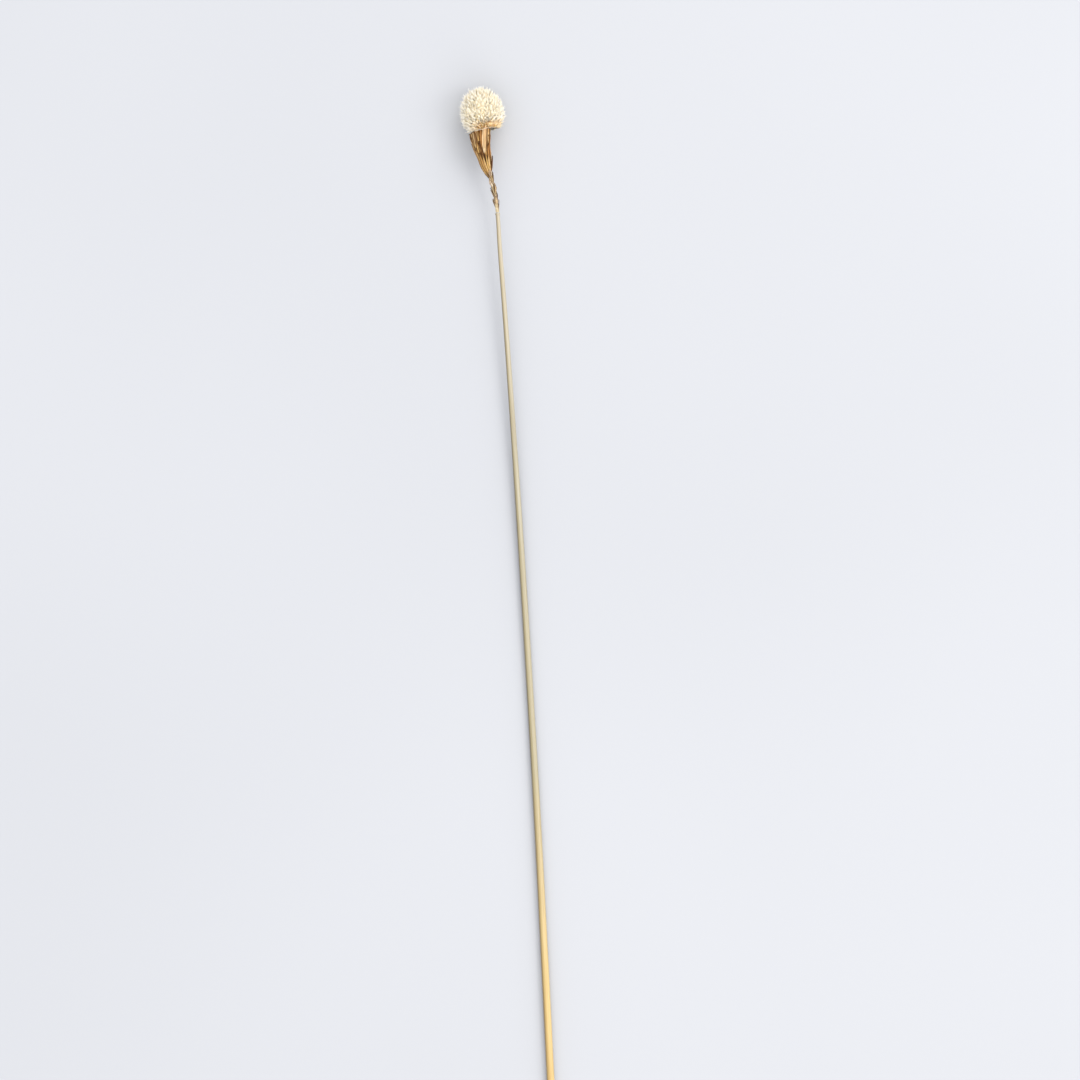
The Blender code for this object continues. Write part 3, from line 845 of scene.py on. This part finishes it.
# How unevenly leaves dry: the turn of the tip, the curl of the sides and the wave of the edge,
# with its run in radians from foot to tip
LEAF_TWIST = 0.10
LEAF_CURLS = (-0.10 * MM, 0.32 * MM)
LEAF_WAVE = 0.10 * MM
LEAF_WAVE_RUN = 9.0
# Leaf tips end below the head, and where its lowest florets are short they clasp its rim
TIP_LIMIT_Y = 276.6 * MM
UNDER_HEAD = 0.45 * MM
CLASP = 0.6 * MM
CLASP_FROM = 4.6 * MM
# Scales grow in pairs, the second a little further up and round the stalk
SCALE_COUNT = 11
SCALE_FIRST = 1.2 * MM
SCALE_STEP = 1.9 * MM
SCALE_PAIR = ((0.0, 0.0), (0.95 * MM, 2.4))
SCALE_LENGTHS = (4.8 * MM, 6.0 * MM)
SCALE_WIDTH = 2.2 * MM
SCALE_SPLAY = 0.3 * MM
BRACT_SPLAY = 0.9 * MM
LEFT_FLARE = 0.4 * MM
FOOT_STRAY = 0.2
INNER_COUNT = 22
INNER_FEET_BELOW_NECK = (22.0 * MM, 7.0 * MM)
INNER_FIRST_TURN = 1.1
INNER_LENGTH = 13.0 * MM
INNER_WIDTH = 2.6 * MM
INNER_SPLAY = 0.5 * MM
# Leaves that lie on top, each as (foot below the neck, angle round the stalk at its foot,
# how far it turns up to its tip, length, width, share of its outline before the head hides it,
# tone, lift)
TOP_LEAVES = (
    (27.0 * MM, 184.0, 8.0, 25.5 * MM, 1.7 * MM, 0.80, 0.42, 0.20 * MM),
    (25.0 * MM, 200.0, 10.0, 24.0 * MM, 1.3 * MM, 0.80, 0.70, 0.15 * MM),
    (22.0 * MM, 212.0, 4.0, 21.0 * MM, 1.3 * MM, 0.75, 0.12, 0.15 * MM),
    (22.5 * MM, 216.0, 12.0, 21.5 * MM, 1.5 * MM, 0.75, 0.58, 0.20 * MM),
    (16.0 * MM, 232.0, 2.0, 15.5 * MM, 1.5 * MM, 0.70, 0.78, 0.30 * MM),
    (19.5 * MM, 238.0, 6.0, 19.0 * MM, 1.1 * MM, 0.80, 0.10, 0.20 * MM),
    (15.0 * MM, 250.0, 2.0, 14.5 * MM, 1.4 * MM, 0.70, 0.66, 0.35 * MM),
    (20.0 * MM, 255.0, 4.0, 19.5 * MM, 1.2 * MM, 0.75, 0.35, 0.25 * MM),
    (22.0 * MM, 266.0, -4.0, 14.0 * MM, 1.2 * MM, 0.90, 0.0, 0.20 * MM),
    (14.5 * MM, 266.0, 8.0, 14.0 * MM, 1.1 * MM, 0.75, 0.20, 0.35 * MM),
    (17.0 * MM, 277.0, 13.0, 16.5 * MM, 1.8 * MM, 0.70, 0.90, 0.40 * MM),
    (16.5 * MM, 290.0, 16.0, 16.0 * MM, 1.7 * MM, 0.70, 0.74, 0.45 * MM),
    (20.5 * MM, 304.0, 12.0, 10.5 * MM, 1.5 * MM, 1.0, 0.14, 0.40 * MM),
    (15.5 * MM, 318.0, 10.0, 15.0 * MM, 1.6 * MM, 0.75, 0.62, 0.30 * MM),
    (21.0 * MM, 332.0, 8.0, 16.0 * MM, 1.3 * MM, 0.80, 0.22, 0.25 * MM),
    (14.0 * MM, 340.0, 6.0, 13.5 * MM, 1.5 * MM, 0.70, 0.52, 0.25 * MM),
    (28.2 * MM, 182.0, 0.0, 25.5 * MM, 2.0 * MM, 0.90, 0.42, 0.05 * MM),
    (28.4 * MM, 204.0, 2.0, 22.0 * MM, 1.8 * MM, 1.0, 0.62, 0.05 * MM),
    (28.0 * MM, 226.0, -2.0, 17.0 * MM, 1.5 * MM, 1.0, 0.44, 0.15 * MM),
    (27.0 * MM, 246.0, -8.0, 13.0 * MM, 1.4 * MM, 1.0, 0.30, 0.25 * MM),
    (27.5 * MM, 264.0, -6.0, 12.0 * MM, 1.3 * MM, 1.0, 0.52, 0.30 * MM),
    (26.5 * MM, 284.0, 2.0, 11.0 * MM, 1.3 * MM, 1.0, 0.40, 0.30 * MM),
    (27.0 * MM, 302.0, 4.0, 11.0 * MM, 1.3 * MM, 1.0, 0.60, 0.25 * MM),
    (26.5 * MM, 325.0, 8.0, 9.5 * MM, 1.3 * MM, 1.0, 0.0, 0.45 * MM),
)
BRACT_COUNT = 34
BRACT_FEET_BELOW_NECK = (26.0 * MM, 8.0 * MM)
BRACT_LENGTHS = (15.0 * MM, 10.5 * MM)
BRACT_WIDTHS = (2.2 * MM, 2.9 * MM)


def model_leaf():
    """A flat leaf, 2 wide and 1 long, with a low ridge along its middle and grooves beside it."""
    bpy.ops.mesh.primitive_grid_add(x_subdivisions=8, y_subdivisions=16, size=2.0)
    leaf = bpy.context.object
    leaf.name = "leaf_pattern"
    bpy.ops.object.mode_set(mode="EDIT")
    bpy.ops.mesh.select_all(action="SELECT")
    bpy.ops.transform.resize(value=(1.0, 0.5, 1.0), center_override=(0.0, -1.0, 0.0))
    bpy.ops.transform.translate(value=(0.0, 1.0, 0.0))
    for beside, height in ((0.0, 0.10), (0.5, -0.06)):
        pick(leaf, lambda v: abs(abs(v.co.x) - beside) < 0.01)
        bpy.ops.transform.translate(value=(0.0, 0.0, height))
    bpy.ops.object.mode_set(mode="OBJECT")
    return leaf


def lay_leaf(
    pattern, foot_y, turn, length, width, splay, draw, tone, lift=0.0, lean=0.0, used=1.0
):
    """A copy of the leaf, wrapped on the stalk from its foot and standing off it at its tip.

    lean turns its tip round the stalk, and used is the share of its outline that it follows.
    """
    mesh = pattern.data.copy()
    wave = draw.uniform(0.0, math.tau)
    twist = lean + draw.uniform(-LEAF_TWIST, LEAF_TWIST)
    curl = draw.uniform(*LEAF_CURLS)
    for vert in mesh.vertices:
        side, share, ridge = vert.co
        y = foot_y + length * share
        phase = (LEAF_START + (1.0 - LEAF_START) * share * used) ** LEAF_FULLNESS
        half = max(0.5 * width * math.sin(math.pi * phase), LEAF_POINT)
        clear = (LEAF_STAND + lift) * min(share * length / ROOT_RUN, 1.0) - LEAF_ROOT
        radius = core_radius(y) + clear + splay * share**1.4
        radius += ridge * MM * (1.0 - share)
        radius += curl * side**2 * share
        radius += LEAF_WAVE * math.sin(wave + LEAF_WAVE_RUN * share) * abs(side) * share
        angle = turn + twist * share + side * half / max(radius, half)
        ring = frame_on_line(y)
        out = ring.to_3x3() @ Vector((math.cos(angle), math.sin(angle), 0.0))
        vert.co = ring.translation + out * radius
    note_points(mesh, "tone", [tone] * len(mesh.vertices))
    return mesh


def model_scales():
    """The small scales that overlap along the upper stalk."""
    pattern = model_leaf()
    meshes = []
    draw = random.Random(SEED)
    finer = random.Random(SEED + 7)
    for i in range(SCALE_COUNT):
        foot = COLLAR_Y + SCALE_FIRST + SCALE_STEP * i
        turn = GOLDEN_ANGLE * i + draw.uniform(-FOOT_STRAY, FOOT_STRAY)
        length = draw.uniform(*SCALE_LENGTHS)
        for ahead, aside in SCALE_PAIR:
            place = foot + ahead, turn + aside
            tone = finer.uniform(0.3, 1.0)
            mesh = lay_leaf(pattern, *place, length, SCALE_WIDTH, SCALE_SPLAY, finer, tone)
            meshes.append(mesh)
    drop(pattern)
    return walled("stalk_scales", meshes)


def model_bracts():
    """The long bracts that overlap up to the head."""
    pattern = model_leaf()
    meshes = []
    draw = random.Random(SEED + 3)
    for i in range(BRACT_COUNT):
        share = i / (BRACT_COUNT - 1)
        foot = NECK_Y - between(BRACT_FEET_BELOW_NECK, share)
        turn = GOLDEN_ANGLE * (i + SCALE_COUNT) + draw.uniform(-FOOT_STRAY, FOOT_STRAY)
        length = between(BRACT_LENGTHS, share) * draw.uniform(0.94, 1.06)
        width = between(BRACT_WIDTHS, share)
        splay = BRACT_SPLAY + LEFT_FLARE * max(0.0, -math.cos(turn))
        length = min(length, TIP_LIMIT_Y - foot)
        tone = draw.uniform(0.0, 0.8)
        meshes.append(lay_leaf(pattern, foot, turn, length, width, splay, draw, tone))
    for i in range(INNER_COUNT):
        share = i / (INNER_COUNT - 1)
        foot = NECK_Y - between(INNER_FEET_BELOW_NECK, share)
        turn = GOLDEN_ANGLE * i + INNER_FIRST_TURN
        length = min(INNER_LENGTH, TIP_LIMIT_Y - foot)
        tone = draw.uniform(0.0, 0.5)
        meshes.append(lay_leaf(pattern, foot, turn, length, INNER_WIDTH, INNER_SPLAY, draw, tone))
    for below, angle, lean, length, width, used, tone, lift in TOP_LEAVES:
        foot = NECK_Y - below
        turn, twist = math.radians(angle), math.radians(lean)
        mesh = lay_leaf(
            pattern, foot, turn, length, width, BRACT_SPLAY, draw, tone, lift, twist, used
        )
        meshes.append(mesh)
    drop(pattern)
    return walled("bract_leaves", meshes)


def walled(name, meshes):
    """One object from laid leaves, kept under the head and given their thickness."""
    leaves = joined(name, meshes)
    keep_under_head(leaves)
    only(leaves)
    bpy.ops.object.mode_set(mode="EDIT")
    bpy.ops.mesh.select_all(action="SELECT")
    bpy.ops.mesh.flip_normals()
    bpy.ops.object.mode_set(mode="OBJECT")
    wall = leaves.modifiers.new("leaf_wall", "SOLIDIFY")
    wall.thickness = LEAF_THICKNESS
    wall.offset = 1.0
    apply_all(leaves)
    bpy.ops.object.shade_smooth_by_angle(angle=math.radians(45.0))
    return leaves


def keep_under_head(thing):
    """Presses leaf tips that would reach into the head down under its base."""
    place_head = head_frame()
    to_head = place_head.inverted()
    for vert in thing.data.vertices:
        local = to_head @ vert.co
        level = base_level(local) - UNDER_HEAD
        if local.xy.length > CLASP_FROM:
            facing = math.cos(math.atan2(local.y, local.x) - SHORT_SIDE)
            level += CLASP * share_between(SHORT_FACING, facing)
        if local.z > level:
            local.z = level
            vert.co = place_head @ local


# Stalk

STALK_RIBS = 16
RIB_DEPTH = 0.035
# Direction across the stalk from which its painted light falls, up and to the right
PAINTED_LIGHT_SIDE = math.radians(42.0)
CORE_FROM = 0.3 * MM
CORE_TO = 1.5 * MM
NODE_RING_BELOW = 0.7 * MM
NODE_RING_RADIUS = 0.92 * MM
NODE_RING_THICKNESS = 0.42 * MM
NODE_RING_HEIGHT = 1.35


def path_for(name, stations):
    """A curve through stations (centre, radius), for a straight piece to be bent along."""
    curve = bpy.data.curves.new(name, "CURVE")
    curve.dimensions = "3D"
    curve.twist_mode = "Z_UP"
    spline = curve.splines.new("POLY")
    spline.points.add(len(stations) - 1)
    for point, (centre, radius) in zip(spline.points, stations):
        point.co = (*centre, 1.0)
        point.radius = radius
    path = bpy.data.objects.new(name, curve)
    bpy.context.scene.collection.objects.link(path)
    return path


def model_rod(name, stations, sides, rings, rib_depth=0.0):
    """A round rod, with shallow ribs, bent along the stations and tapered by their radius."""
    length = sum((b[0] - a[0]).length for a, b in zip(stations, stations[1:]))
    bpy.ops.mesh.primitive_cylinder_add(
        vertices=sides,
        radius=1.0,
        depth=length,
        location=(0.5 * length, 0.0, 0.0),
        rotation=(0.0, 0.5 * math.pi, 0.0),
    )
    rod = bpy.context.object
    rod.name = name
    settle(rod)
    bpy.ops.object.mode_set(mode="EDIT")
    pick(rod, lambda e: abs(e.verts[0].co.x - e.verts[1].co.x) > 0.5 * length, "EDGE")
    bpy.ops.mesh.subdivide(number_cuts=rings)
    if rib_depth:
        pick(rod, lambda v: round(math.atan2(v.co.z, v.co.y) / math.tau * sides) % 2 == 0)
        bpy.ops.transform.resize(
            value=(1.0, 1.0 - rib_depth, 1.0 - rib_depth), center_override=(0.0, 0.0, 0.0)
        )
    bpy.ops.object.mode_set(mode="OBJECT")
    path = path_for(name + "_path", stations)
    bend = rod.modifiers.new("bend", "CURVE")
    bend.object = path
    bend.deform_axis = "POS_X"
    apply_all(rod)
    curve = path.data
    bpy.data.objects.remove(path)
    bpy.data.curves.remove(curve)
    bpy.ops.object.shade_smooth_by_angle(angle=math.radians(55.0))
    return rod


def stations_between(start_y, end_y, count, radius_at):
    steps = [between((start_y, end_y), i / (count - 1)) for i in range(count)]
    return [(centre_line(y), radius_at(y)) for y in steps]


def model_stem():
    """The bare stalk, ribbed along its length, from its cut end to the ring under the scales."""
    stations = stations_between(CUT_END_Y, COLLAR_Y, 120, stem_radius)
    stalk = model_rod("stalk", stations, 2 * STALK_RIBS, 180, RIB_DEPTH)
    # Notes where the painted light and shade fall across the stalk
    note_painted_light_side(stalk.data)
    return stalk


def note_painted_light_side(mesh):
    """Notes from 0 to 1 how far each point of the stalk is on its side up and to the right, for
    the painted light and shade of its finish.
    """
    painted_light_towards = Vector((math.sin(PAINTED_LIGHT_SIDE), 0.0, math.cos(PAINTED_LIGHT_SIDE)))
    values = []
    for vert in mesh.vertices:
        out = vert.co - centre_line(vert.co.y)
        out.y = 0.0
        values.append(0.5 + 0.5 * painted_light_towards.dot(out.normalized()) if out.length > 0.1 * MM else 0.7)
    note_points(mesh, "painted_light_side", values)


def model_stalk_core():
    """The core that the scales and bracts grow on."""
    stations = stations_between(COLLAR_Y + CORE_FROM, NECK_Y - CORE_TO, 48, core_radius)
    return model_rod("bract_core", stations, 28, 60)


def model_node_ring():
    """The swollen ring at the top of the bare stalk."""
    bpy.ops.mesh.primitive_torus_add(
        major_segments=36,
        minor_segments=12,
        major_radius=NODE_RING_RADIUS,
        minor_radius=NODE_RING_THICKNESS,
    )
    ring = bpy.context.object
    ring.name = "node_ring"
    bpy.ops.object.mode_set(mode="EDIT")
    bpy.ops.mesh.select_all(action="SELECT")
    taller = (1.0, 1.0, NODE_RING_HEIGHT)
    bpy.ops.transform.resize(value=taller, center_override=(0.0, 0.0, 0.0))
    bpy.ops.object.mode_set(mode="OBJECT")
    ring.matrix_world = frame_on_line(COLLAR_Y - NODE_RING_BELOW)
    settle(ring)
    # The ring gets the same painted light and shade as the stalk
    note_painted_light_side(ring.data)
    bpy.ops.object.shade_smooth()
    return ring


# Camera, table and light

FRAME_WIDTH = 594.0 * MM
CAMERA_HEIGHT = 1.6
VIEW_MIDDLE = Vector((15.6 * MM, 49.9 * MM, 0.0))
VIEW_TURN = math.radians(-3.93)
TABLE_SIZE = 6.0
LIGHT_TARGET = Vector((0.0, 0.1, 0.0))
# Soft lights, each as (name, place, size, power, colour)
LIGHTS = (
    ("window", Vector((1.3, 2.47, 1.76)), 2.0, 36.0, "#FFFAF2"),
    ("side_window", Vector((1.5, 0.1, 1.5)), 1.0, 10.0, "#FFFAF2"),
    ("far_wall", Vector((0.5, -1.3, 0.8)), 1.4, 6.0, "#FFF8EC"),
)
ROOM_COLOUR = "#FBF8F6"
BRIGHT_SIDE = (0.55, -0.45, 0.70)
ROOM_STRENGTHS = (1.20, 1.75)


def set_camera():
    """Looks straight down, with the flower turned in the picture as the photograph shows it."""
    lens = bpy.data.cameras.new("view_from_above")
    lens.sensor_width = 36.0
    lens.lens = lens.sensor_width * CAMERA_HEIGHT / FRAME_WIDTH
    camera = bpy.data.objects.new("view_from_above", lens)
    camera.location = VIEW_MIDDLE + Vector((0.0, 0.0, CAMERA_HEIGHT))
    camera.rotation_euler = (0.0, 0.0, VIEW_TURN)
    bpy.context.scene.collection.objects.link(camera)
    bpy.context.scene.camera = camera


def set_table(material):
    """The pale board that the flower lies on."""
    bpy.ops.mesh.primitive_plane_add(size=TABLE_SIZE, location=(0.0, 0.0, 0.0))
    table = bpy.context.object
    table.name = "table"
    table.data.materials.append(material)


def add_light(name, place, size, power, colour):
    """A square soft light at a place, facing the middle of the flower."""
    light = bpy.data.lights.new(name, "AREA")
    light.size = size
    light.energy = power
    light.color = linear(colour)[:3]
    lamp = bpy.data.objects.new(name, light)
    lamp.location = place
    aim = LIGHT_TARGET - lamp.location
    lamp.rotation_euler = aim.to_track_quat("-Z", "Y").to_euler()
    bpy.context.scene.collection.objects.link(lamp)


def set_light():
    """A large window ahead at the right, a smaller one at the right and a pale wall behind.

    The room gives soft light from every side, a little more from its bright side.
    """
    for light in LIGHTS:
        add_light(*light)
    world = bpy.data.worlds.new("bright_room")
    bpy.context.scene.world = world
    world.use_nodes = True
    tree = world.node_tree
    background = tree.nodes["Background"]
    background.inputs["Color"].default_value = linear(ROOM_COLOUR)
    towards = add(tree, "ShaderNodeTexCoord").outputs["Generated"]
    facing = add(tree, "ShaderNodeVectorMath", {0: towards}, operation="DOT_PRODUCT")
    facing.inputs[1].default_value = BRIGHT_SIDE
    level = add(
        tree,
        "ShaderNodeMapRange",
        {"Value": facing.outputs["Value"]},
        From_Min=-0.8,
        From_Max=1.0,
        To_Min=ROOM_STRENGTHS[0],
        To_Max=ROOM_STRENGTHS[1],
    )
    tree.links.new(level.outputs["Result"], background.inputs["Strength"])
    bpy.context.scene.view_settings.view_transform = "Standard"


def dress(thing, material, node):
    """Gives a piece its finish, puts it under the root body and hides the part of the model that
    it stands for.
    """
    thing.data.materials.clear()
    thing.data.materials.append(material)
    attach(thing, "root")
    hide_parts(node)


papery = papery_floret()
straw_finish = straw()
chaff = floret_bed()

dress(model_florets(), papery, "flower_head")
dress(model_floret_bed(), chaff, "flower_head")
dress(model_receptacle(), chaff, "flower_head")
dress(model_bracts(), dry_leaf("withered_bract", BRACT_TONES), "leafy_bracts")
dress(model_scales(), dry_leaf("bleached_scale", SCALE_TONES), "leafy_bracts")
dress(model_stalk_core(), stalk_skin(), "leafy_bracts")
dress(model_stem(), straw_finish, "stem")
dress(model_node_ring(), straw_finish, "stem")

set_camera()
set_table(painted_board())
set_light()
